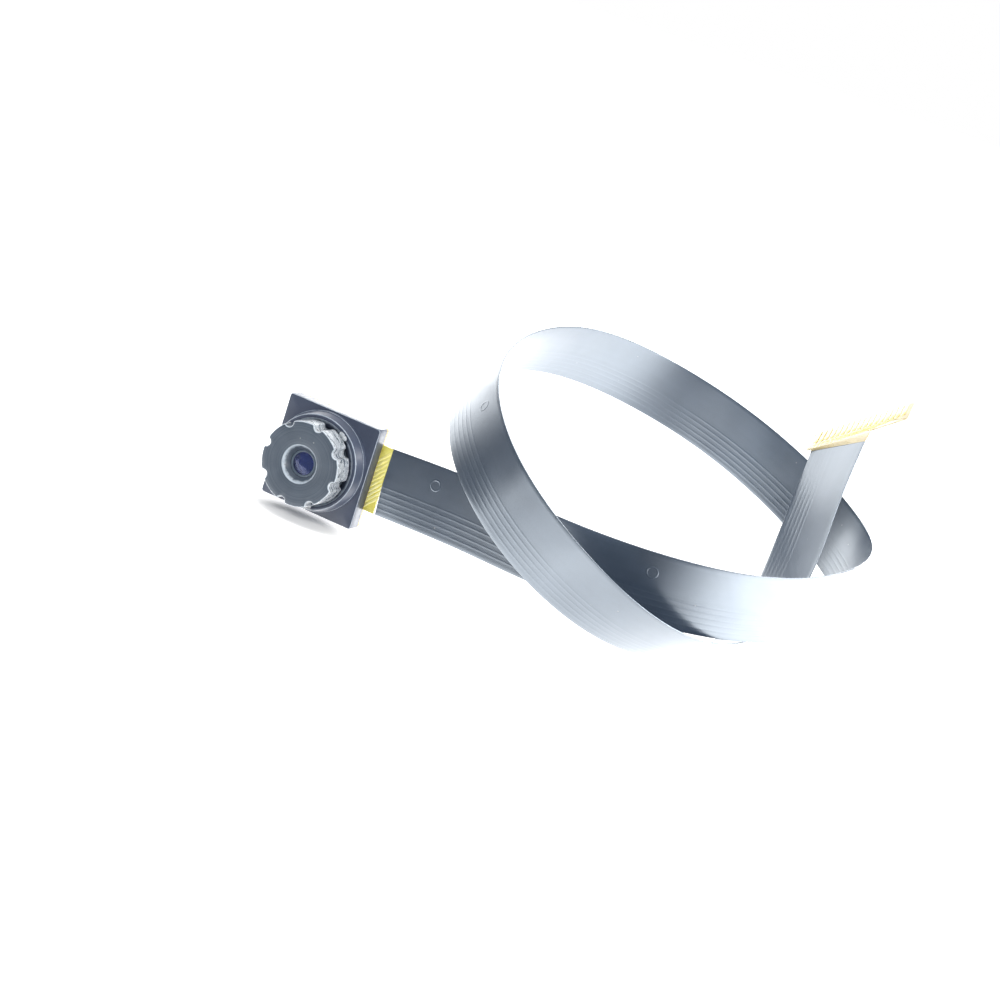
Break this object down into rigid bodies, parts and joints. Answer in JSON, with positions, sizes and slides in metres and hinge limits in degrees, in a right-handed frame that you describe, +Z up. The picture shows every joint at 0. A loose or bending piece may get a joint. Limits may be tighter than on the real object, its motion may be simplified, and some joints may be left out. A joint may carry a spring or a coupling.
{
  "type": "camera module",
  "caption": "Compact fixed-focus camera module: square lens holder, screwed-in notched lens barrel, sensor on a thin board and a long springy flat flexible circuit with a wider contact end.",
  "frame": {"origin": "bottom centre of the module's own box, without the flexible circuit, with the module standing on one side face", "axes": "+Z up, -Y along the lens axis towards what is seen, +X the way the flexible circuit leaves"},
  "size_m": [0.0456, 0.0369, 0.0222],
  "materials": {
    "dark_plastic": "satin moulded plastic",
    "barrel_plastic": "fine moulded plastic",
    "coated_glass": "coated glass",
    "black_film": "flat black film",
    "clear_lens": "clear moulded lens",
    "filter_glass": "coated filter glass",
    "adhesive": "cured clear adhesive",
    "sensor_die": "polished die",
    "gold": "thin gold plate",
    "ceramic_chip": "fired ceramic",
    "amber_film": "polyimide film",
    "stiffener_steel": "thin rolled sheet",
    "bare_copper": "bare copper under film",
    "black_film_cover": "black cover film, satin",
    "pale_stiffener": "pale stiffener sheet"
  },
  "bodies": {
    "root": {"lens_holder": "dark_plastic", "lens_barrel": "barrel_plastic", "front_lens": "coated_glass", "shade_ring": "black_film", "middle_lens": "clear_lens", "spacer_ring": "black_film", "rear_lens": "clear_lens", "retaining_ring": "black_film", "ir_filter": "filter_glass", "filter_adhesive": "adhesive", "thread_lock": "adhesive", "image_sensor": "sensor_die", "bond_wires": "gold", "board_capacitors": "ceramic_chip", "sensor_board": "amber_film", "board_stiffener": "stiffener_steel", "flex_neck": "amber_film", "neck_copper": "bare_copper", "flex_ribbon": "black_film_cover", "ribbon_bend": "amber_film", "end_film": "amber_film", "contact_fingers": "gold", "end_stiffener": "pale_stiffener"}
  },
  "joints": []
}
